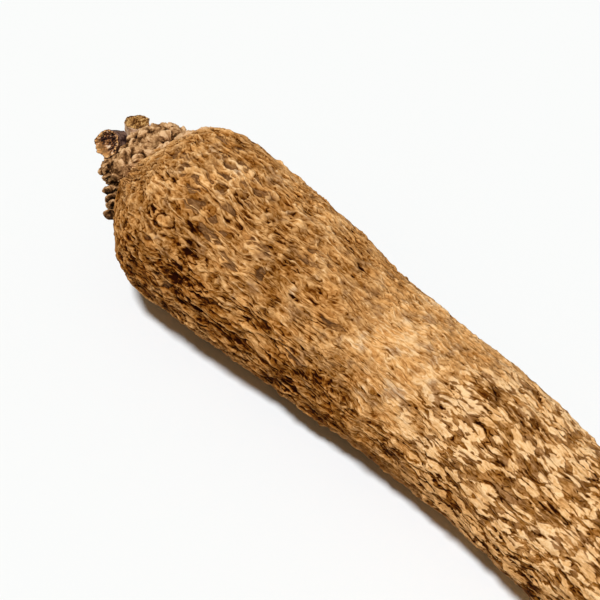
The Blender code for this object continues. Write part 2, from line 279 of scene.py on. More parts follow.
strew = random.Random(STREWN_SEED)
far_places = [[strew.uniform(*ends) for ends in FAR_SIDE.values()] for _ in range(STREWN_COUNT)]
for label, places in (
    ("bare", BARE_PLACES + far_places[0::3]),
    ("stain", STAINS_AND_SHADE + far_places[1::3]),
    ("pale", PALE_PLACES + far_places[2::3]),
):
    mask = skin.data.attributes.new(label, "FLOAT", "POINT")
    mask.data.foreach_set("value", soft_ovals(places).astype(np.float32))
    print(label, len(places), "places")

# %% [markdown]
# ## Lines that bark is made of
#
# The same pattern has to shape the skin and colour it, or light would fall on ridges that aren't
# where the paint says. Texture nodes are the same in a geometry tree and in a material, so the
# functions below draw in either. Bark has three kinds of line: borders between long cells, veins, and
# strands. All are drawn out along the tuber, as the root stretched while it grew, and most are drawn
# on a place that wanders, so that they aren't straight.
#
# Strands are cut from a solid noise on the grain. Cells and veins can't be: where a cell's wall happens
# to lie flat in the skin, it would show as a wide blob. They are drawn on the unrolled skin instead, in
# two dimensions. Unrolling needs a seam, and the seam is under the belly, where they fade out.

# %% Functions that draw bark
SEAM_FADE = 6


def wandering(tree, place, size, reach):
    """A place moved about by a soft noise, twice as long as wide, so that what is drawn on it flows."""
    drawn_out = add(tree, "VectorMath MULTIPLY", [place, (0.5 / size, 1 / size, 1 / size)])
    drift = add(tree, "TexNoise", {"Vector": drawn_out, "Scale": 1.0, "Detail": 1.0}, out="Color")
    drift = add(tree, "VectorMath SUBTRACT", [drift, (0.5, 0.5, 0.5)])
    drift = add(tree, "VectorMath SCALE", {0: drift, "Scale": reach})
    return add(tree, "VectorMath ADD", [place, drift])


def strands(tree, place, cell, ends, detail=2.0):
    """Streaks the size of a cell: 0 where a drawn-out noise is below one end, 1 above the other."""
    drawn_out = add(tree, "VectorMath MULTIPLY", [place, tuple(1 / side for side in cell)])
    cloud = {"Vector": drawn_out, "Scale": 1.0, "Detail": detail, "Roughness": 0.55}
    return add(tree, "MapRange", [add(tree, "TexNoise", cloud), *ends], **SMOOTH)


def unrolled(tree, grain):
    """The grain's place on the skin rolled out flat, and how clear of the seam under the belly it is."""
    parts = add(tree, "SeparateXYZ", [grain], out=None).outputs
    angle = add(tree, "Math ARCTAN2", [parts["Y"], parts["Z"]])
    around = add(tree, "Math MULTIPLY", [angle, GRAIN_RADIUS])
    turned = add(tree, "Math ABSOLUTE", [angle])
    clear = add(tree, "MapRange", [turned, math.pi, math.pi - SEAM_FADE / GRAIN_RADIUS], **SMOOTH)
    return add(tree, "CombineXYZ", [parts["X"], around]), clear


def veins(tree, place, cell, width):
    """Long thin lines, where a drawn-out noise crosses its middle: 1 on the line, 0 off it."""
    drawn_out = add(tree, "VectorMath MULTIPLY", [place, (1 / cell[0], 1 / cell[1], 1)])
    cloud = {"Vector": drawn_out, "Scale": 1.0, "Detail": 1.5}
    away = add(tree, "TexNoise", cloud, noise_dimensions="2D")
    away = add(tree, "Math SUBTRACT", [away, 0.5])
    away = add(tree, "Math ABSOLUTE", [away])
    return add(tree, "MapRange", [away, width, width / 4], **SMOOTH)


def long_cells(tree, place, cell):
    """Long cells side by side: how far a point is from its cell's border, and the cell's own number."""
    drawn_out = add(tree, "VectorMath MULTIPLY", [place, (1 / cell[0], 1 / cell[1], 1)])
    found = []
    for feature, out in (("DISTANCE_TO_EDGE", "Distance"), ("F1", "Color")):
        cells = {"Vector": drawn_out, "Scale": 1.0}
        found.append(add(tree, "TexVoronoi", cells, out=out, voronoi_dimensions="2D", feature=feature))
    return found[0], add(tree, "SeparateXYZ", [found[1]])


def layered(tree, start, layers):
    """Add up layers, each a value and its weight."""
    total = start
    for value, weight in layers:
        total = add(tree, "Math MULTIPLY_ADD", [value, weight, total])
    return total


# %% [markdown]
# ## Eye scars
#
# Round scars show where a bud or a root was: a pale eye, a groove round it, and a pale rim. They could
# be painted as discs, but a disc shapes nothing. Each is the distance from its own place, drawn out
# along a leaning line and made uneven by a ragged noise, and cut into rings.

# %% Eye scars
EYE_SCARS = [
    (72, 138, 2.4, 0.6, 1.0), (85, 101, 1.4, 1.0, 0.0), (96, 96, 1.4, 1.2, 0.2), (58, 215, 2.6, 0.8, 1.0),
    (92, 262, 2.2, 0.9, 0.3), (79, 335, 2.4, 0.8, 1.0),
]
EYE_LEAN = (0.96, -0.28)
EYE_STRETCH = -0.60
EYE_BORDER = (1.05, 0.75)
RIM_PLACE = 1.40
RIM_BORDER = (0.35, 0.05)
RIM_PALE = 0.75
GROOVE_BORDER = (1.5, 1.2)
GROOVE_DEPTH = 0.6


def eye_scars(tree, place, ragged):
    """The pale parts of all scars (along, angle, size, torn, eye), and their grooves."""
    pale, groove = 0.0, 0.0
    for x, angle, size, torn, eye in EYE_SCARS:
        side, up = math.cos(math.radians(angle)), math.sin(math.radians(angle))
        long_way = (EYE_LEAN[0], -EYE_LEAN[1] * up, EYE_LEAN[1] * side)
        away = add(tree, "VectorMath SUBTRACT", [place, (x, GRAIN_RADIUS * side, GRAIN_RADIUS * up)])
        away = add(tree, "VectorMath SCALE", {0: away, "Scale": 1 / size})
        leaning = add(tree, "VectorMath DOT_PRODUCT", [away, long_way], out="Value")
        leaning = add(tree, "Math ABSOLUTE", [leaning])
        away = add(tree, "VectorMath LENGTH", [away], out="Value")
        # The noise's middle is 0.5, so half of what it adds comes off again.
        away = layered(tree, away, [(leaning, EYE_STRETCH), (ragged, torn), (torn, -0.5)])
        from_rim = add(tree, "Math SUBTRACT", [away, RIM_PLACE])
        from_rim = add(tree, "Math ABSOLUTE", [from_rim])
        for ring in ([away, *EYE_BORDER, 0.0, eye], [from_rim, *RIM_BORDER, 0.0, RIM_PALE]):
            ring = add(tree, "MapRange", ring, **SMOOTH)
            pale = add(tree, "Math MAXIMUM", [ring, pale])
        inside = add(tree, "MapRange", [away, *GROOVE_BORDER, 0.0, GROOVE_DEPTH], **SMOOTH)
        groove = add(tree, "Math MAXIMUM", [inside, groove])
    return pale, add(tree, "Math SUBTRACT", [groove, pale], use_clamp=True)


# %% [markdown]
# ## The bark's pattern
#
# On the head, a coarse and a fine net of ridges stand round hollows, with long veins through them, and
# the fine net sinks where a hollow lies open. Round the waist only strands and fibrils are left, which
# also fill the ground elsewhere. Towards the tail the cells turn over: they stand up as plates, their
# borders are cracks, and fewer hold on where the bark is stained. Soft swells and knots lie under all
# of it, and crumbs, crevices, pits, stains and pale places over it. Painted shade darkens the
# crevices, the pits, the foot of each ridge, the stains on the low side and the whole low side.
#
# Written out node by node this is long and hard to change, so it is a recipe in tables. Lines are
# drawn first, at their real sizes. Sums say where a layer may be, borders make soft shares of them,
# and cuts set the layers against each other. Weights then mix them into the relief in millimetres and
# one tone, from 0 (deep crack) to 1 (pale plate). One tone, not a paint for each mask, lets the layers
# run into each other.

# %% Sizes of the bark's lines
# The sizes are in millimetres: along the tuber first, then across it.
WARPS = [(22, 11), (8, 4.0), (2.4, 2.2)]
CLOUDS = {"patchy": ("grain", 26), "ragged": ("solid", 4)}
CELLS = {"net": (17, 7.0), "fine": (8, 3.4), "plate": (12, 3.7)}
VEINS = {"vein": ((26, 6.0), 0.075), "braid": ((17, 3.6), 0.060), "crevice": ((20, 3.4), 0.040)}
STRANDS = {
    "strong": ("grain", (14, 7, 7), (0.34, 0.62)),
    "open_crevice": ("grain", (14, 7, 7), (0.40, 0.58)),
    "fibre": ("solid", (12, 2.0, 2.0), (0.38, 0.62), 3.0),
    "fibril": ("solid", (4.5, 1.0, 1.0), (0.36, 0.64)),
    "crumb": ("grain", (1.8, 1.3, 1.3), (0.34, 0.66)),
    "swell": ("grain", (16, 8, 8), (0.28, 0.72)),
    "knots": ("grain", (10, 6, 6), (0.56, 0.74), 1.0),
    "pits": ("solid", (3, 1.3, 1.3), (0.58, 0.67), 1.0),
}

# %% [markdown]
# The first table is of sums: a start, and a weight for each layer added to it. The second is of
# borders: 0 at the first end, 1 at the second. The third is of cuts: an operation on layers and
# numbers, in order. What a subtraction leaves is held between 0 and 1.

# %% The bark's recipe
PLACING = [
    ("along", "x", {"patchy": 90}),
    ("net_along", "along", {"z": 0.8}),
    # The low side of the tuber, by its height on the grain: the tone is darkened there as painted shade.
    ("low_side_shade", "z", {"ragged": 12, "patchy": 16, "x": 0.04}),
    ("gap", -0.04, {"fibre": -0.15, "fibril": -0.10, "strong": 0.27, "ragged": 0.28, "stain": 0.22}),
    ("plate", "plate_edge", {"gap": -1.0}),
    ("plate_kept", "plate_number", {"patchy": 1.6}),
    ("floor", "net_number", {"bare": 1.8}),
    ("stain", "stain", {"ragged": 0.9}),
    ("pale", "pale", {"ragged": 0.9}),
]
BORDERS = [
    ("net_share", "net_along", 300, 210),
    ("plate_share", "along", 272, 328),
    ("low_side_shade", "low_side_shade", 61, 13),
    ("crest", "net_edge", 0.24, 0.05),
    ("fine_crest", "fine_edge", 0.27, 0.06),
    # The foot of each ridge: it sinks the relief, and darkens the tone as painted shade beside the ridge.
    ("foot", "net_edge", 0.32, 0.16),
    ("deep", "net_edge", 0.10, 0.19),
    ("floor", "floor", 0.84, 0.90),
    ("plate", "plate", -0.02, 0.05),
    ("plate_kept", "plate_kept", 0.86, 0.96),
    ("stain", "stain", 0.55, 1.15),
    ("pale", "pale", 0.70, 1.10),
]
CUTS = [
    ("crest_height", "MULTIPLY_ADD", "strong", 0.65, 0.35),
    ("crest", "MULTIPLY", "crest", "crest_height"),
    ("hollow", "MULTIPLY", "deep", "floor"),
    ("hollow", "MULTIPLY", "hollow", "net_share"),
    ("fine_height", "MULTIPLY_ADD", "hollow", -0.40, 0.45),
    ("fine_crest", "MULTIPLY", "fine_crest", "fine_height"),
    ("net", "MAXIMUM", "crest", "fine_crest"),
    ("net", "MAXIMUM", "net", "vein"),
    ("net", "MULTIPLY", "net", "net_share"),
    ("braid", "MULTIPLY", "braid", 0.5),
    ("ridge", "MAXIMUM", "net", "braid"),
    ("ridge", "SUBTRACT", "ridge", "groove"),
    ("ridge", "MAXIMUM", "ridge", "scar"),
    ("ridge", "MULTIPLY_ADD", "plate_share", -0.5, "ridge"),
    ("ridge", "MAXIMUM", "ridge", 0.0),
    ("ridge", "MULTIPLY", "ridge", "off_seam"),
    ("plate", "MULTIPLY", "plate", "plate_kept"),
    ("plate", "MULTIPLY", "plate", "plate_share"),
    ("plate", "MULTIPLY", "plate", "off_seam"),
    ("ground", "MULTIPLY_ADD", "plate", -1.0, "plate_share"),
    ("plate_tone", "MULTIPLY_ADD", "plate_number", 0.14, 0.50),
    ("plate_tone", "MULTIPLY", "plate", "plate_tone"),
    ("foot", "SUBTRACT", "foot", "ridge"),
    ("foot", "MULTIPLY", "foot", "net_share"),
    ("foot", "MULTIPLY", "foot", "strong"),
    ("hollow", "SUBTRACT", "hollow", "ridge"),
    # Stained places darken where the fibres are low: partly stain, and on the low side partly painted shade.
    ("soil", "MULTIPLY_ADD", "fibre", -0.95, 1.1),
    ("soil", "MULTIPLY_ADD", "plate_share", -0.4, "soil"),
    ("soil", "MULTIPLY", "soil", "stain"),
    ("soil", "MAXIMUM", "soil", 0.0),
    ("soil", "MINIMUM", "soil", 1.0),
    ("clear", "MULTIPLY_ADD", "plate", -0.7, 1.0),
    ("fibre", "MULTIPLY", "fibre", "clear"),
    ("crevice", "MULTIPLY", "crevice", "open_crevice"),
    ("crevice", "MULTIPLY", "crevice", "clear"),
]
MIXING = [
    ("relief", -1.30, {
        "swell": 1.2, "knots": 0.9, "ridge": 1.45, "plate": 0.60, "fibre": 0.36, "fibril": 0.16,
        "crumb": 0.14, "crevice": -0.60, "foot": -0.35, "hollow": -0.40, "pits": -0.25, "groove": -0.25,
    }),
    # In the tone, the darkening of the low side and of the feet of the ridges is painted shade, and that of
    # the crevices, pits, stains and soil is partly painted shade.
    ("tone", 0.09, {
        "patchy": 0.50, "swell": 0.12, "knots": 0.06, "fibre": 0.19, "fibril": 0.17, "crumb": 0.09,
        "ridge": 0.44, "plate_tone": 0.80, "pale": 0.16, "net_share": -0.36, "plate_share": -0.18,
        "low_side_shade": -0.26, "crevice": -0.32, "foot": -0.18, "hollow": -0.04, "soil": -0.27, "pits": -0.17,
        "groove": -0.08,
    }),
]

# %% Draw the pattern in any tree
def add_sums(tree, drawn, sums):
    """Draw a table of sums, each by its own name."""
    for name, start, weights in sums:
        layers = [(drawn[layer], weight) for layer, weight in weights.items()]
        drawn[name] = layered(tree, drawn.get(start, start), layers)


def bark_pattern(tree):
    """Draw the bark on the grain, and give back each of its layers by name."""
    drawn = {}
    for name, kind in (("grain", "FLOAT_VECTOR"), ("bare", "FLOAT"), ("stain", "FLOAT"), ("pale", "FLOAT")):
        if tree.type == "GEOMETRY":
            drawn[name] = add(tree, "GeometryNodeInputNamedAttribute", {"Name": name}, data_type=kind)
        else:
            out = "Vector" if kind == "FLOAT_VECTOR" else "Fac"
            drawn[name] = add(tree, "Attribute", out=out, attribute_name=name)
    parts = add(tree, "SeparateXYZ", [drawn["grain"]], out=None).outputs
    drawn |= {"x": parts["X"], "z": parts["Z"], "solid": drawn["grain"]}
    for size, reach in WARPS:
        drawn["solid"] = wandering(tree, drawn["solid"], size, reach)
    for name, (place, size) in CLOUDS.items():
        drawn[name] = add(tree, "TexNoise", {"Vector": drawn[place], "Scale": 1 / size, "Detail": 3.0})
    for name, (place, *sizes) in STRANDS.items():
        drawn[name] = strands(tree, drawn[place], *sizes)
    flat, drawn["off_seam"] = unrolled(tree, drawn["solid"])
    for name, sizes in VEINS.items():
        drawn[name] = veins(tree, flat, *sizes)
    for name, cell in CELLS.items():
        drawn[name + "_edge"], drawn[name + "_number"] = long_cells(tree, flat, cell)
    drawn["scar"], drawn["groove"] = eye_scars(tree, drawn["grain"], drawn["ragged"])
    add_sums(tree, drawn, PLACING)
    for name, layer, low, high in BORDERS:
        drawn[name] = add(tree, "MapRange", [drawn[layer], low, high], **SMOOTH)
    for name, operation, *values in CUTS:
        values = [drawn.get(value, value) for value in values]
        drawn[name] = add(tree, "Math " + operation, values, use_clamp=operation == "SUBTRACT")
    add_sums(tree, drawn, MIXING)
    return drawn


# %% [markdown]
# ## Cork bark
#
# Yam bark is dry cork: dead, air-filled cells, quite matt. It is lightest on what stands up, because
# that is rubbed clean, and darkest in its cracks, which hold soil and are also painted with the shade
# that the ridges cast, as are its pits, the foot of each ridge and the whole low side. So its tone picks
# a colour from a ramp that runs from crack brown over tan to pale plate. Soft tints from grey to cream
# lie over it, but not on the plates. Where the cork came off, the inner bark shows, grey-brown and
# streaked. What is finer than the mesh stays in the material as bump: the same relief again.

# %% Helpers for materials
PLANT_IOR = 1.45


def start_material(name, roughness, specular_level):
    """A new material for dry plant matter, with its node tree and its shader."""
    made = bpy.data.materials.new(name)
    made.use_nodes = True
    shader = made.node_tree.nodes["Principled BSDF"]
    shader.inputs["Roughness"].default_value = roughness
    shader.inputs["IOR"].default_value = PLANT_IOR
    shader.inputs["Specular IOR Level"].default_value = specular_level
    return made, made.node_tree, shader


def set_stops(ramp, tones):
    """Give a colour ramp its stops, each a position and a hex colour, and hand it back."""
    stops = ramp.node.color_ramp.elements
    stops.remove(stops[1])
    stops[0].position, stops[0].color = tones[0][0], linear(tones[0][1])
    for position, shade in tones[1:]:
        stops.new(position).color = linear(shade)
    return ramp


# %% Cork bark material
BARK_TONES = [
    (0.0, "260900"), (0.14, "5E2E04"), (0.30, "8F5B21"), (0.50, "B9844D"), (0.72, "DFA96C"), (0.96, "FCD19C"),
]
TINTS = [(0.34, "D6D4DC"), (0.44, "F8F8F8"), (0.64, "FFF6E6")]
TINT_SIZE = 9
GROUND_GREY = -0.10
PLATE_CLEAR = -0.8
BARE_COLOURS = ("6B4626", "946A42")
BARE_SHARE = 0.95
BARK_BUMP = 0.6


def cork_bark():
    """Dry cork: matt, light where it stands up, dark in its cracks."""
    made, tree, shader = start_material("dry cork bark", 0.88, 0.04)
    drawn = bark_pattern(tree)
    colour = set_stops(add(tree, "ValToRGB", [drawn["tone"]]), BARK_TONES)
    tint = add(tree, "TexNoise", {"Vector": drawn["grain"], "Scale": 1 / TINT_SIZE, "Detail": 3.0})
    tint = layered(tree, tint, [(drawn["ground"], GROUND_GREY)])
    tint = set_stops(add(tree, "ValToRGB", [tint]), TINTS)
    share = layered(tree, 1.0, [(drawn["plate"], PLATE_CLEAR)])
    colour = add(tree, "Mix", {0: share, 6: colour, 7: tint}, **MIX, blend_type="MULTIPLY")
    streaked = {0: drawn["fibril"], 6: linear(BARE_COLOURS[0]), 7: linear(BARE_COLOURS[1])}
    streaked = add(tree, "Mix", streaked, **MIX)
    share = add(tree, "Math MULTIPLY", [drawn["hollow"], BARE_SHARE])
    colour = add(tree, "Mix", {0: share, 6: colour, 7: streaked}, **MIX)
    tree.links.new(colour, shader.inputs["Base Color"])
    bump = add(tree, "Bump", {"Height": drawn["relief"], "Distance": MM, "Strength": BARK_BUMP})
    tree.links.new(bump, shader.inputs["Normal"])
    return made


bark = cork_bark()
print("cork bark:", len(bark.node_tree.nodes), "nodes")

# %% [markdown]
# ## Raise the bark
#
# A Geometry Nodes tree draws the pattern on the fine grid and moves each point out along its normal
# by the relief, then holds it at or above the surface that the yam lies on. That makes a million
# triangles. Decimate then merges those that lie nearly flat and keeps the ridges, down to what a
# piece may hold, so the detail goes where there is some.

# %% Geometry Nodes: raise the bark
SKIN_TRIANGLES = 192000
# Only Z has a limit that counts, at the surface. A metre to the side is past the yam.
LOWEST_PLACE = (-1.0, -1.0, 0.0)


def geometry_tree(name, sizes):
    """A Geometry Nodes tree with a geometry in and out, and a named number for each size."""
    tree = bpy.data.node_groups.new(name, "GeometryNodeTree")
    tree.interface.new_socket("Geometry", in_out="INPUT", socket_type="NodeSocketGeometry")
    tree.interface.new_socket("Geometry", in_out="OUTPUT", socket_type="NodeSocketGeometry")
    for label, value in sizes.items():
        socket = tree.interface.new_socket(label, in_out="INPUT", socket_type="NodeSocketFloat")
        socket.default_value = value
    return tree, tree.nodes.new("NodeGroupInput"), tree.nodes.new("NodeGroupOutput")


def run_tree(target, tree, sizes):
    """Run a tree on an object with its sizes, and keep the result as a plain mesh."""
    modifier = target.modifiers.new(tree.name, "NODES")
    modifier.node_group = tree
    for item in tree.interface.items_tree:
        if item.in_out == "INPUT" and item.name in sizes:
            modifier[item.identifier] = sizes[item.name]
    bake_modifiers(target)


def bake_modifiers(target):
    """Give an object the mesh that its modifiers make, and drop them."""
    depsgraph = bpy.context.evaluated_depsgraph_get()
    done = bpy.data.meshes.new_from_object(target.evaluated_get(depsgraph))
    target.modifiers.clear()
    old = target.data
    target.data = done
    done.name = target.name
    bpy.data.meshes.remove(old)


def triangles(target):
    """How many triangles an object's mesh has."""
    return sum(len(face.vertices) - 2 for face in target.data.polygons)


def thin_out(target, wanted):
    """Merge the flattest faces until an object has no more triangles than wanted."""
    decimate = target.modifiers.new("thin out", "DECIMATE")
    decimate.ratio = min(wanted / triangles(target), 1)
    bake_modifiers(target)


def bark_tree():
    """Move each point out along its normal by the bark's relief."""
    sizes = {"Relief": 1.0}
    tree, given, result = geometry_tree("raise the bark", sizes)
    drawn = bark_pattern(tree)
    height = add(tree, "Math MULTIPLY", [drawn["relief"], given.outputs["Relief"]])
    height = add(tree, "Math MULTIPLY", [height, MM])
    normal = add(tree, "GeometryNodeInputNormal")
    offset = add(tree, "VectorMath SCALE", {0: normal, "Scale": height})
    moved = add(tree, "VectorMath ADD", [add(tree, "GeometryNodeInputPosition"), offset])
    kept_up = add(tree, "VectorMath MAXIMUM", [moved, LOWEST_PLACE])
    raised = {"Geometry": given.outputs["Geometry"], "Position": kept_up}
    raised = add(tree, "GeometryNodeSetPosition", raised)
    done = add(tree, "GeometryNodeSetMaterial", {"Geometry": raised, "Material": bark})
    tree.links.new(done, result.inputs[0])
    return tree, sizes


run_tree(skin, *bark_tree())
print("raised skin", triangles(skin), "triangles")
thin_out(skin, SKIN_TRIANGLES)
for vert in skin.data.vertices:
    vert.co.z = max(vert.co.z, 0)
skin.data.shade_smooth()
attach(skin, "root")
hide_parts("tuber")
print("thinned skin", triangles(skin), "triangles")

# %% [markdown]
# ## The crown's lumps
#
# The crown is the old woody head that the vines grew from: a low mound of buds and wound cork, with a
# string of wart collars that hangs from its lip over the shoulder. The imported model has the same
# mound, knobs and collars with few sides. Here they are laid out again by the same rule: the knobs
# turn by the golden angle round the mound, which spreads them evenly with no rows, and the collars
# follow a short path, each round a core, as a piece of their own. Small knobs along the shoulder
# carry the crown on into the bark. Subdivision rounds all of them, so their form is kept.

# %% Lay out the crown
CROWN_CENTRE = (1.5, -3.5, 64)
CROWN_LONG = (20, 27, 20)
CROWN_OUT = (-0.67, -0.07, 0.74)
CROWN_SIZE = (15.5, 24, 10.5)
CROWN_SEED = 12
MOUND_DETAIL = 2
MOUND_ROUGH = 0.05
KNOB_COUNT = 44
KNOB_SIZES = (2.2, 4.8)
KNOB_DETAIL = 1
KNOB_ROUGH = 0.2
KNOB_STRETCH = 1.3
KNOB_REACH = 1.25
SHOULDER_KNOBS = [
    (13.5, 62, 3.2), (15.5, 78, 2.6), (17, 58, 2.8), (20, 69, 2.4), (22.5, 60, 2.4), (26, 66, 2.0),
    (28, 57, 2.2), (32, 62, 1.7), (35, 54, 1.8), (39, 58, 1.5),
]
SMALL_LUMPS_SEED = 0
GOLDEN_ANGLE = math.pi * (3 - math.sqrt(5))
COLLAR_PATH = [(-6.5, -22.5, 60), (-1, -22, 55), (4.5, -27, 51.5), (9, -30, 49), (15, -36, 46.5)]
COLLARS = [(7.0, 2.8), (6.6, 2.6), (5.4, 2.6), (7.0, 3.2), (6.0, 2.6), (5.2, 2.8), (5.8, 2.0)]
COLLAR_TILT = 0.30
COLLAR_ROUGH = 0.12
COLLAR_SIDES = 12
COLLAR_ROWS = 4
COLLAR_SLIM = 0.72
COLLAR_CORE = 0.62
ROUNDING_LOSS = 1.12
MOUND_FILL = 1.10


def world(x, y, z):
    """A place given in millimetres from the head's pole, in the world's metres."""
    return Vector((HEAD_POLE_X + x, BODY_SHIFT_Y + y, z)) * MM


def facing(direction):
    """The turn that takes +Z to a direction."""
    return direction.to_track_quat("Z", "Y").to_matrix()


def add_lump(bm, centre, size, turn, detail, rough, draw):
    """Add an uneven ball, drawn to a size in millimetres and turned."""
    made = bmesh.ops.create_icosphere(bm, subdivisions=detail, radius=1)
    for vert in made["verts"]:
        vert.co *= 1 + draw.uniform(-rough, rough)
        flat = Vector([part * wide for part, wide in zip(vert.co, size)])
        vert.co = centre + turn @ flat * MM * ROUNDING_LOSS


def add_collar(bm, centre, radius, thick, turn, draw):
    """Add a flat, uneven disc with a rounded rim."""
    made = bmesh.ops.create_uvsphere(bm, u_segments=COLLAR_SIDES, v_segments=COLLAR_ROWS, radius=1)
    for vert in made["verts"]:
        wide = radius * (1 + draw.uniform(-COLLAR_ROUGH, COLLAR_ROUGH))
        flat = Vector((vert.co.x * wide, vert.co.y * wide, vert.co.z * thick * COLLAR_SLIM))
        vert.co = centre + turn @ flat * MM * ROUNDING_LOSS


def rounded(bm, name):
    """Make an object of a bmesh and round it by subdivision."""
    mesh = bpy.data.meshes.new(name)
    bm.to_mesh(mesh)
    bm.free()
    made = bpy.data.objects.new(name, mesh)
    bpy.context.collection.objects.link(made)
    rounding = made.modifiers.new("rounding", "SUBSURF")
    rounding.levels = 2
    rounding.render_levels = 2
    bake_modifiers(made)
    print(name, triangles(made), "triangles")
    return made


def crown_lumps(draw):
    """The mound with its knobs, and the string of collars, each as a mesh of closed balls."""
    bm = bmesh.new()
    centre = world(*CROWN_CENTRE)
    out = Vector(CROWN_OUT).normalized()
    across = Vector(CROWN_LONG).cross(out).normalized()
    turn = Matrix((across, out.cross(across), out)).transposed()
    filled = [size * MOUND_FILL for size in CROWN_SIZE]
    add_lump(bm, centre, filled, turn, MOUND_DETAIL, MOUND_ROUGH, draw)
    for k in range(KNOB_COUNT):
        tilt = math.acos(1 - KNOB_REACH * (k + 0.5) / KNOB_COUNT)
        spin = k * GOLDEN_ANGLE
        way = Vector((math.sin(tilt) * math.cos(spin), math.sin(tilt) * math.sin(spin), math.cos(tilt)))
        spot = centre + turn @ Vector([part * size * MM for part, size in zip(way, CROWN_SIZE)])
        knob = draw.uniform(*KNOB_SIZES)
        size = (knob, KNOB_STRETCH * knob, knob)
        add_lump(bm, spot, size, facing(turn @ way), KNOB_DETAIL, KNOB_ROUGH, draw)
    small = random.Random(SMALL_LUMPS_SEED)
    for x, angle, knob in SHOULDER_KNOBS:
        spot = skin_points(np.array([float(x)]), np.array([math.radians(angle)]))[0]
        size = (knob, KNOB_STRETCH * knob, knob)
        add_lump(bm, Vector(spot) * MM, size, turn, KNOB_DETAIL, KNOB_ROUGH, small)
    mound = rounded(bm, "crown")
    bm = bmesh.new()
    path = [world(*point) for point in COLLAR_PATH]
    for k, (radius, thick) in enumerate(COLLARS):
        place = (len(path) - 1) * k / (len(COLLARS) - 1)
        i = min(int(place), len(path) - 2)
        spot = path[i].lerp(path[i + 1], place - i)
        tilt = Vector([draw.uniform(-COLLAR_TILT, COLLAR_TILT) for _ in range(3)])
        turn = facing((path[i + 1] - path[i]).normalized() + tilt)
        add_collar(bm, spot, radius, thick, turn, draw)
        core = (COLLAR_CORE * radius, COLLAR_CORE * radius, thick)
        add_lump(bm, spot, core, turn, KNOB_DETAIL, 0, small)
    return mound, rounded(bm, "wart_collars")


crown, collars = crown_lumps(random.Random(CROWN_SEED))

# %% [markdown]
# ## Crown wood
#
# The crown's tissue is corky wood that healed over many times: duller and greyer than the bark. It is
# pale on its tips and almost black in the clefts. Both follow how far a point stands out, so the dark
# in the clefts is painted shade, where little light reaches. How far a point stands out of the lumps
# round it is worked out on the mesh below, and kept as a number on each point. The colour follows that
# number, a noise and a patchy noise, and it is darker on the side that hangs over the shoulder, which
# is painted shade.

# %% Crown wood material
CROWN_TONES = [(0.0, "1C0D04"), (0.25, "543417"), (0.5, "936942"), (0.75, "C19364"), (1.0, "E3B88A")]
CROWN_MOSS = "8A7C4E"
MOSS_ENDS = (0.54, 0.68)
MOSS_SHARE = 0.12
CROWN_PATCH = 9 * MM
CROWN_GRAIN = 1.1 * MM
SHADE_WAY = Vector((-0.1, -0.75, -0.65))
SHADE_ENDS = (9, 19)


def crown_wood(name, lightness):
    """Corky wood: dull, dark in its clefts, pale on its tips."""
    made, tree, shader = start_material(name, 0.85, 0.08)
    place = add(tree, "TexCoord", out="Object")
    patch = add(tree, "TexNoise", {"Vector": place, "Scale": 1 / CROWN_PATCH, "Detail": 3.0})
    fine = add(tree, "TexNoise", {"Vector": place, "Scale": 1 / CROWN_GRAIN, "Detail": 3.0})
    stands_out = add(tree, "Attribute", out="Fac", attribute_name="stands_out")
    # Painted shade: darker towards the side that hangs over the shoulder.
    painted_shade = add(tree, "VectorMath DOT_PRODUCT", [place, SHADE_WAY], out="Value")
    ends = [world(*CROWN_CENTRE).dot(SHADE_WAY) + reach * MM for reach in SHADE_ENDS]
    painted_shade = add(tree, "MapRange", [painted_shade, *ends], **SMOOTH)
    # How far a point stands out lightens the tips and darkens the clefts as painted shade.
    tone = layered(tree, lightness, [(stands_out, 0.80), (fine, 0.60), (patch, 0.60), (painted_shade, -0.24)])
    colour = set_stops(add(tree, "ValToRGB", [tone]), CROWN_TONES)
    mossy = add(tree, "MapRange", [patch, *MOSS_ENDS, 0.0, MOSS_SHARE])
    colour = add(tree, "Mix", {0: mossy, 6: colour, 7: linear(CROWN_MOSS)}, **MIX)
    tree.links.new(colour, shader.inputs["Base Color"])
    bump = add(tree, "Bump", {"Height": fine, "Distance": 0.5 * MM, "Strength": 0.8})
    tree.links.new(bump, shader.inputs["Normal"])
    return made


crown_finish = crown_wood("healed crown wood", -0.06)
# The collars take a darker copy of the crown wood: painted shade for the gaps between them and the body they
# hang against.
shaded_collar_finish = crown_wood("wart cork with painted shade", -0.28)
print("crown wood:", len(crown_finish.node_tree.nodes), "nodes")

# %% [markdown]
# ## Grow warts and wrinkles on the crown
#
# Each lump carries warts a few millimetres wide. A tree strews points over the lumps, no two closer
# than a set distance, puts a flattened ball on each and makes them real. A voxel remesh melts balls
# and lumps into one skin, as wood grows into one. A second tree pulls that skin out of round with
# noise, so that no ball is left, and wrinkles it with a noise folded at its middle, which leaves sharp
# valleys. Then it blurs the skin: a point that lies outside
# the blurred skin is on a tip, and one inside it is in a cleft, and that distance is the number that
# the crown wood reads.

# %% Geometry Nodes: warts, then wrinkles
CROWN_VOXEL = 0.42 * MM
BLUR_STEPS = 40
SPECK_POINTS = 50
WART_DENSITY = 200000.0
WART_SEED = 4


def drop_specks(target):
    """Delete the islands of a few points that a voxel remesh leaves, and say how many points went."""
    bm = bmesh.new()
    bm.from_mesh(target.data)
    seen = set()
    specks = []
    for start in bm.verts:
        if start in seen:
            continue
        seen.add(start)
        island = [start]
        for vert in island:
            fresh = {edge.other_vert(vert) for edge in vert.link_edges} - seen
            seen |= fresh
            island += fresh
        if len(island) < SPECK_POINTS:
            specks += island
    print(target.name, "specks:", len(specks), "points")
    bmesh.ops.delete(bm, geom=specks, context="VERTS")
    bm.to_mesh(target.data)
    bm.free()


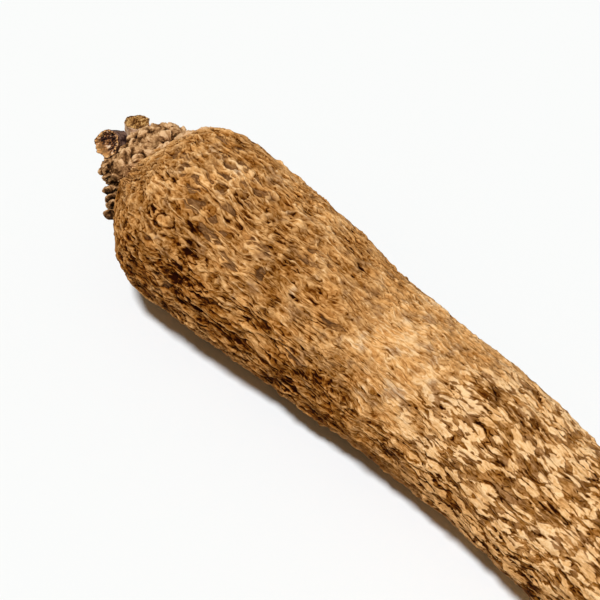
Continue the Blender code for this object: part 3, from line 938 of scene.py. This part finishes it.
def wart_tree():
    """Strew flattened balls over a surface and join them to it."""
    sizes = {"Spacing": 6.0 * MM, "Smallest": 1.6 * MM, "Largest": 3.2 * MM}
    tree, given, result = geometry_tree("strew warts", sizes)
    surface = given.outputs["Geometry"]
    apart = given.outputs["Spacing"]
    scattering = {"Mesh": surface, "Distance Min": apart, "Density Max": WART_DENSITY, "Seed": WART_SEED}
    points = "GeometryNodeDistributePointsOnFaces"
    points = add(tree, points, scattering, out=None, distribute_method="POISSON").outputs
    ball = add(tree, "GeometryNodeMeshIcoSphere", {"Radius": 1.0, "Subdivisions": 2})
    wide = {2: given.outputs["Smallest"], 3: given.outputs["Largest"], "Seed": 2}
    wide = add(tree, "FunctionNodeRandomValue", wide, out=1)
    scale = add(tree, "VectorMath SCALE", {0: (1.3, 1.0, 0.7), "Scale": wide})
    spot, turn = points["Points"], points["Rotation"]
    placed = {"Points": spot, "Instance": ball, "Rotation": turn, "Scale": scale}
    balls = add(tree, "GeometryNodeRealizeInstances", [add(tree, "GeometryNodeInstanceOnPoints", placed)])
    joined = add(tree, "GeometryNodeJoinGeometry", out=None)
    tree.links.new(surface, joined.inputs[0])
    tree.links.new(balls, joined.inputs[0])
    done = add(tree, "GeometryNodeSetMaterial", {"Geometry": joined.outputs[0], "Material": crown_finish})
    tree.links.new(done, result.inputs[0])
    return tree, sizes


CROWN_WRINKLES = {
    "Pull": 3.4 * MM, "Pull size": 6.0 * MM,
    "Wrinkle": 3.2 * MM, "Wrinkle size": 7.0 * MM,
    "Grit": 2.4 * MM, "Grit size": 1.6 * MM,
}
COLLAR_WRINKLES = {
    "Pull": 1.6 * MM, "Pull size": 3.6 * MM,
    "Wrinkle": 1.8 * MM, "Wrinkle size": 3.0 * MM,
    "Grit": 1.6 * MM, "Grit size": 1.2 * MM,
}


def wrinkle_tree(sizes, finish):
    """Pull a skin out of round, wrinkle it, and note how far each point stands out."""
    tree, given, result = geometry_tree("wrinkle", sizes)
    position = add(tree, "GeometryNodeInputPosition")
    height = 0.0
    for reach, size in (("Wrinkle", "Wrinkle size"), ("Grit", "Grit size")):
        scale = add(tree, "Math DIVIDE", [1.0, given.outputs[size]])
        rough = add(tree, "TexNoise", {"Vector": position, "Scale": scale, "Detail": 1.0})
        rough = add(tree, "Math ADD", [rough, -0.5])
        rough = add(tree, "Math ABSOLUTE", [rough])
        rough = add(tree, "Math ADD", [rough, -0.1])
        height = add(tree, "Math MULTIPLY_ADD", [rough, given.outputs[reach], height])
    scale = add(tree, "Math DIVIDE", [1.0, given.outputs["Pull size"]])
    pull = add(tree, "TexNoise", {"Vector": position, "Scale": scale, "Detail": 0.0}, out="Color")
    pull = add(tree, "VectorMath SUBTRACT", [pull, (0.5, 0.5, 0.5)])
    pull = add(tree, "VectorMath SCALE", {0: pull, "Scale": given.outputs["Pull"]})
    normal = add(tree, "GeometryNodeInputNormal")
    offset = add(tree, "VectorMath SCALE", {0: normal, "Scale": height})
    offset = add(tree, "VectorMath ADD", [offset, pull])
    moved = add(tree, "GeometryNodeSetPosition", {"Geometry": given.outputs["Geometry"], "Offset": offset})
    blurring = {"Value": position, "Iterations": BLUR_STEPS}
    blurred = add(tree, "GeometryNodeBlurAttribute", blurring, data_type="FLOAT_VECTOR")
    lift = add(tree, "VectorMath SUBTRACT", [position, blurred])
    lift = add(tree, "VectorMath DOT_PRODUCT", [lift, normal], out="Value")
    lift = add(tree, "Math DIVIDE", [lift, MM])
    noting = {"Geometry": moved, "Name": "stands_out", "Value": lift}
    noted = add(tree, "GeometryNodeStoreNamedAttribute", noting, data_type="FLOAT", domain="POINT")
    done = add(tree, "GeometryNodeSetMaterial", {"Geometry": noted, "Material": finish})
    tree.links.new(done, result.inputs[0])
    return tree, sizes


run_tree(crown, *wart_tree())
for piece, wrinkles, finish in (
    (crown, CROWN_WRINKLES, crown_finish),
    (collars, COLLAR_WRINKLES, shaded_collar_finish),
):
    melt = piece.modifiers.new("melt together", "REMESH")
    melt.mode = "VOXEL"
    melt.voxel_size = CROWN_VOXEL
    bake_modifiers(piece)
    drop_specks(piece)
    run_tree(piece, *wrinkle_tree(wrinkles, finish))
    piece.data.shade_smooth()
    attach(piece, "root")
    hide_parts("tuber")
    print(piece.name, triangles(piece), "triangles")

# %% [markdown]
# ## The dry vine ends
#
# Last season's vines died and tore off, and left two short ends. Each is a ribbed pipe: a smooth skin
# outside, a wall of wood that shows as a rim where it tore, and rotted pith inside, sunk to a dark cup
# in the large end and a low dome in the small one. One surface makes all of it: it starts at the foot,
# runs up the outside, turns over the ragged rim and goes on over the pith to its middle. A number on
# each point, 0 outside, 1 on the rim and 2 on the pith, tells the material where it is.

# %% Build the vine ends
SOCKET_DEPTH = 4
VINES = {
    "vine_stub_large": {
        "tip": (-11.4, -18.4, 72), "way": (-0.10, -0.88, 0.46), "out": 8, "radius": 7.4,
        "cup": 4.5, "wall": 1.0, "slant": 3.0, "torn": 1.7,
    },
    "vine_stub_small": {
        "tip": (-12, 3.4, 75.4), "way": (-0.15, 0.11, 0.98), "out": 8, "radius": 6.8,
        "cup": -0.8, "wall": 0.9, "slant": 0.8, "torn": 0.8,
    },
}
WORN_SIDE = Vector((0.54, -0.46, 0.71))
VINE_SIDES = 150
OUTSIDE_RINGS = 46
RIM_RINGS = 10
CUP_RINGS = 40
VINE_RIBS = 7
VINE_RIB = 0.02
VINE_LUMPS = 0.22
VINE_FIBRES = 0.08
RIM_FLARE = 0.05
RIM_BEND = 1.5
CUP_BEND = 0.6
CUP_CALM = 0.6
CUP_ROUGH = 2.6


def vine_noise(a, b, c):
    """Smooth noise from -0.5 to 0.5 on arrays of places."""
    flat = np.stack([a, b, c], -1).reshape(-1, 3)
    return 0.5 * np.array([noise.noise(point) for point in flat.tolist()]).reshape(a.shape)


def vine_end(name, tip, way, out, radius, cup, wall, slant, torn):
    """A torn vine end: up the outside, over the rim, lower on its worn side, and down the cup."""
    way = Vector(way).normalized()
    frame_turn = facing(way)
    worn = frame_turn.transposed() @ WORN_SIDE
    length = out + SOCKET_DEPTH
    outside, rim, inside = (np.linspace(0, 1, count) for count in (OUTSIDE_RINGS, RIM_RINGS, CUP_RINGS))
    rim, inside = rim[1:], inside[1:-1]
    bore = 1 - wall / radius
    level = np.concatenate([outside * length, np.full(len(rim), length), length - cup * inside ** CUP_BEND])
    spread = np.concatenate([np.ones(len(outside)), 1 - rim * wall / radius, bore * (1 - inside)])
    layer = np.concatenate([np.zeros(len(outside)), rim, 1 + np.minimum(inside * 4, 1)])
    level, turn = np.meshgrid(level, np.arange(VINE_SIDES) * 2 * math.pi / VINE_SIDES, indexing="ij")
    spread, layer = (np.repeat(part[:, None], VINE_SIDES, 1) for part in (spread, layer))
    round_x, round_y = np.cos(turn), np.sin(turn)
    near_rim = np.clip((level - 0.5 * length) / (0.5 * length), 0, 1) ** RIM_BEND
    lumps = VINE_LUMPS * vine_noise(level / 5, 2 * round_x, 2 * round_y + radius)
    ribs = 1 + VINE_RIB * np.cos(VINE_RIBS * turn) + lumps
    fibres = VINE_FIBRES * vine_noise(level / 9, 9 * round_x, 9 * round_y)
    ragged = vine_noise(level * 0 + radius, 2.2 * round_x, 2.2 * round_y) * 2
    ragged = torn * (ragged + vine_noise(level * 0, 11 * round_x, 11 * round_y))
    lowered = slant * spread * (worn.x * round_x + worn.y * round_y)
    pith = CUP_ROUGH * vine_noise(level / 2, 1.1 * spread * radius * round_x, 1.1 * spread * radius * round_y)
    wide = radius * spread * (ribs + fibres)
    wide = wide * np.where(layer < 0.01, 1 + RIM_FLARE * near_rim, 1 + RIM_FLARE)
    high = level + (ragged * np.where(layer > 1, 1 - CUP_CALM * (layer - 1), 1) - lowered) * near_rim
    high = np.maximum(high, SOCKET_DEPTH * 0.5) + pith * np.clip(layer, 0, 1)
    foot = world(*tip) / MM - way * length
    local = np.stack([wide * round_x, wide * round_y, high], -1)
    points = local @ np.array(frame_turn).T + np.array(foot)
    middle = np.array(frame_turn) @ np.array([0, 0, length - cup]) + np.array(foot)
    grain = np.stack([level, radius * round_x, radius * round_y], -1).reshape(-1, 3)
    grain = np.vstack([grain, [(0, 0, 0)] * 2])
    made = tube_object(name.replace("vine_stub", "vine_end"), points, foot, middle, grain)
    kept = made.data.attributes.new("layer", "FLOAT", "POINT")
    kept.data.foreach_set("value", np.concatenate([layer.ravel(), [0, 2]]).astype(np.float32))
    return made


# %% [markdown]
# ## Dry vine
#
# The skin of a dead vine is thin, smooth and slightly glossy, purple-brown with pale blotches. The torn
# wood under it is pale and stringy, and the pith in its middle is rotten, dark, with crumbs that still
# catch the light. One side of the pith is painted lighter, as a painted pool of light that falls into
# the cup. The small end's skin is a pinkish tan, partly its own colour and partly painted light on an
# upright side that the lamp hardly reaches, and its pith is dusted ochre.

# %% Dry vine materials
VINE_LOOKS = {
    "vine_stub_large": {
        "name": "dry vine skin and pith, large",
        "skin": ("35211F", "7E6052"),
        "rim": ("6A3C18", "E8B070"),
        "pith": [(0.40, "180602"), (0.50, "4A2A20"), (0.58, "A8703C"), (0.68, "F0DCC2")],
        "lit": "D89A58",
    },
    "vine_stub_small": {
        "name": "dry vine skin and pith, small",
        # Its skin is lighter than the large end's: partly its own colour, partly painted light on an upright
        # side that the lamp hardly reaches.
        "skin": ("C0946C", "ECC4A0"),
        "rim": ("3A230E", "8A6030"),
        "pith": [(0.36, "4E2A08"), (0.50, "90602A"), (0.64, "DCB070")],
        "lit": "C89A5E",
    },
}
BLOTCH_SCALE = 0.35
BLOTCH_ENDS = (0.40, 0.62)
CRUMB = 2.0 * MM
CRUMB_STRETCH = (1.2, 0.5, 0.8)
RIM_ENDS = (0.05, 0.35)
PITH_ENDS = (1.45, 1.95)
LIT_WAY = Vector((-0.08, -0.86, -0.50))
LIT_SHARE = 0.8


def dry_vine(name, tip, radius, skin, rim, pith, lit):
    """Dry vine: smooth skin, stringy torn wood, crumbling pith."""
    made, tree, shader = start_material(name, 0.6, 0.15)
    grain = add(tree, "Attribute", out="Vector", attribute_name="grain")
    layer = add(tree, "Attribute", out="Fac", attribute_name="layer")
    place = add(tree, "TexCoord", out="Object")
    blotch = add(tree, "TexNoise", {"Vector": grain, "Scale": BLOTCH_SCALE, "Detail": 3.0})
    blotch = add(tree, "MapRange", [blotch, *BLOTCH_ENDS])
    torn = strands(tree, grain, (8, 0.9, 0.9), (0.40, 0.60))
    leaning = add(tree, "VectorMath MULTIPLY", [place, CRUMB_STRETCH])
    crumbs = {"Vector": leaning, "Scale": 1 / CRUMB, "Detail": 2.0, "Roughness": 0.6}
    crumbs = add(tree, "TexNoise", crumbs)
    looks = []
    for share, ends in ((blotch, skin), (torn, rim)):
        looks.append(add(tree, "Mix", {0: share, 6: linear(ends[0]), 7: linear(ends[1])}, **MIX))
    rotten = set_stops(add(tree, "ValToRGB", [crumbs]), pith)
    # A painted pool of light: on one side the pith turns to its lit colour.
    side = add(tree, "VectorMath DOT_PRODUCT", [place, LIT_WAY], out="Value")
    side = layered(tree, side, [(crumbs, radius * MM)])
    middle = world(*tip).dot(LIT_WAY) + 0.5 * radius * MM
    side = add(tree, "MapRange", [side, middle, middle + radius * MM, 0.0, LIT_SHARE], **SMOOTH)
    rotten = add(tree, "Mix", {0: side, 6: rotten, 7: linear(lit)}, **MIX)
    uneven = layered(tree, layer, [(blotch, 0.5), (crumbs, 1.2)])
    on_pith = add(tree, "MapRange", [uneven, *PITH_ENDS])
    on_rim = add(tree, "MapRange", [layer, *RIM_ENDS])
    colour = add(tree, "Mix", {0: on_pith, 6: looks[1], 7: rotten}, **MIX)
    colour = add(tree, "Mix", {0: on_rim, 6: looks[0], 7: colour}, **MIX)
    tree.links.new(colour, shader.inputs["Base Color"])
    bump = add(tree, "Bump", {"Height": crumbs, "Distance": 0.5 * MM, "Strength": 0.7})
    tree.links.new(bump, shader.inputs["Normal"])
    return made


for node, sizes in VINES.items():
    end = vine_end(node, **sizes)
    finish = dry_vine(tip=sizes["tip"], radius=sizes["radius"], **VINE_LOOKS[node])
    end.data.materials.append(finish)
    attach(end, "root")
    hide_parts(node)
    print(end.name, triangles(end), "triangles")

# %% [markdown]
# ## Floor, light and camera
#
# The yam lies on a white sweep under one strong, slightly cool lamp almost straight above, which gives
# the dark shadow along its belly. A faint warm sky keeps the shadow from going black. The camera
# looks down on it at 45 degrees with a long lens.

# %% Floor, light and camera
FLOOR_SIZE = 6
FLOOR_DROP = 0.2 * MM
SKY = {"colour": "FFE4B6", "strength": 0.18}
LAMP = {"azimuth": 10, "elevation": 72, "colour": "F4FAFF", "strength": 3.4, "angle": 9}
CAMERA_AZIMUTH = 49.4
CAMERA_ELEVATION = 45
CAMERA_DISTANCE = 1.079
CAMERA_AIM = Vector((-0.0905, 0.0036, 0.045))
CAMERA_LENS = 120
CAMERA_SENSOR = 36


def plain_floor():
    """A wide white floor, just under the yam's belly."""
    mesh = bpy.data.meshes.new("floor")
    bm = bmesh.new()
    bmesh.ops.create_grid(bm, x_segments=1, y_segments=1, size=FLOOR_SIZE / 2)
    for vert in bm.verts:
        vert.co.z = -FLOOR_DROP
    bm.to_mesh(mesh)
    bm.free()
    made = bpy.data.materials.new("white paper")
    made.use_nodes = True
    shader = made.node_tree.nodes["Principled BSDF"]
    shader.inputs["Base Color"].default_value = linear("F0F0F0")
    shader.inputs["Roughness"].default_value = 0.9
    mesh.materials.append(made)
    floor = bpy.data.objects.new("floor", mesh)
    bpy.context.collection.objects.link(floor)


def sky(colour, strength):
    """An even sky."""
    made = bpy.data.worlds.new("pale studio")
    made.use_nodes = True
    made.node_tree.nodes["Background"].inputs["Color"].default_value = linear(colour)
    made.node_tree.nodes["Background"].inputs["Strength"].default_value = strength
    bpy.context.scene.world = made


def lamp(azimuth, elevation, colour, strength, angle):
    """A far lamp with a soft edge: it shines down from an azimuth and an elevation."""
    light = bpy.data.lights.new("overhead lamp", "SUN")
    light.energy = strength
    light.color = linear(colour)[:3]
    light.angle = math.radians(angle)
    made = bpy.data.objects.new("overhead lamp", light)
    made.rotation_euler = seen_from(azimuth, elevation).to_track_quat("Z", "Y").to_euler()
    bpy.context.collection.objects.link(made)


def seen_from(azimuth, elevation):
    """The way from the yam to a viewer."""
    turn, rise = math.radians(azimuth), math.radians(elevation)
    return Vector((math.sin(turn) * math.cos(rise), -math.cos(turn) * math.cos(rise), math.sin(rise)))


plain_floor()
sky(**SKY)
lamp(**LAMP)
camera = bpy.data.cameras.new("camera")
camera.lens = CAMERA_LENS
camera.sensor_width = CAMERA_SENSOR
camera_object = bpy.data.objects.new("camera", camera)
back = seen_from(CAMERA_AZIMUTH, CAMERA_ELEVATION)
camera_object.location = CAMERA_AIM + back * CAMERA_DISTANCE
camera_object.rotation_euler = back.to_track_quat("Z", "Y").to_euler()
bpy.context.collection.objects.link(camera_object)
bpy.context.scene.camera = camera_object
bpy.context.scene.view_settings.view_transform = "Standard"
